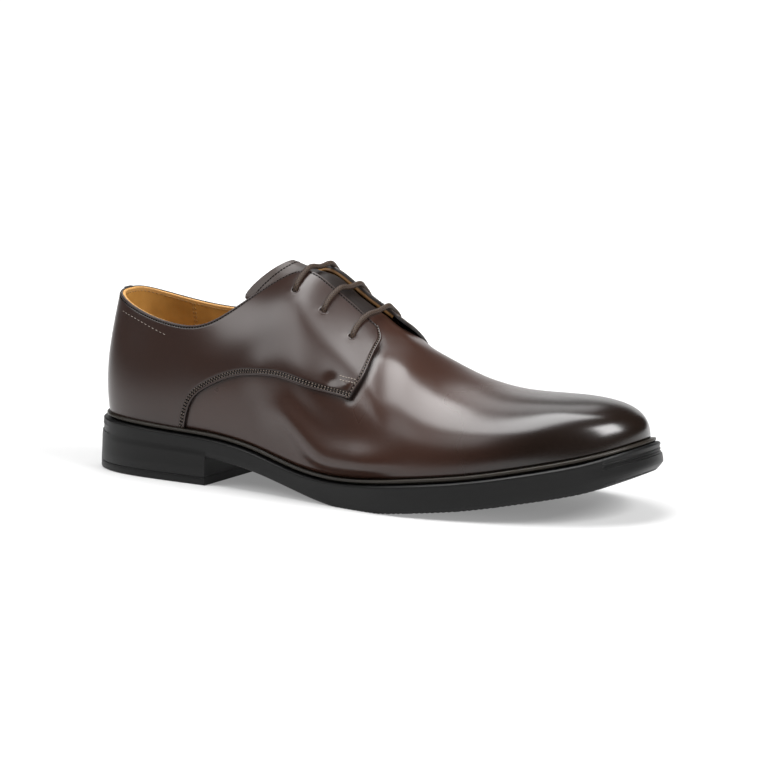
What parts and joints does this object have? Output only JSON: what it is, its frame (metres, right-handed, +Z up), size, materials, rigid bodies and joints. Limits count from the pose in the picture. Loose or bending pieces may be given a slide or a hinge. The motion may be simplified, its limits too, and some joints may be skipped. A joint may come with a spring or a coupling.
{
  "type": "derby dress shoe",
  "caption": "Plain-toe open-laced leather dress shoe for the right foot, with a hollow lined upper, stitched side panels, tongue, straight laces and a heeled rubber sole.",
  "frame": {"origin": "middle of the overall box, on the floor plane", "axes": "+X from heel to toe, +Y to the inner side of the foot, +Z up"},
  "size_m": [0.3044, 0.1074, 0.1112],
  "materials": {
    "outsole": "matt moulded rubber",
    "heel_top_lift": "matt moulded rubber",
    "welt": "dark waxed strip",
    "upper": "polished smooth calf, darker at the toe",
    "quarter_lateral": "polished smooth calf",
    "quarter_medial": "polished smooth calf",
    "back_strip": "polished smooth calf",
    "tongue": "satin smooth calf",
    "insole": "natural tan lining leather",
    "lace_bar_1": "round waxed lace",
    "lace_bar_2": "round waxed lace",
    "lace_bar_3": "round waxed lace"
  },
  "bodies": {
    "root": {"outsole": "outsole", "heel_top_lift": "heel_top_lift", "welt": "welt", "upper": "upper", "quarter_lateral": "quarter_lateral", "quarter_medial": "quarter_medial", "back_strip": "back_strip", "tongue": "tongue", "insole": "insole", "lace_bar_1": "lace_bar_1", "lace_bar_2": "lace_bar_2", "lace_bar_3": "lace_bar_3"}
  },
  "joints": []
}
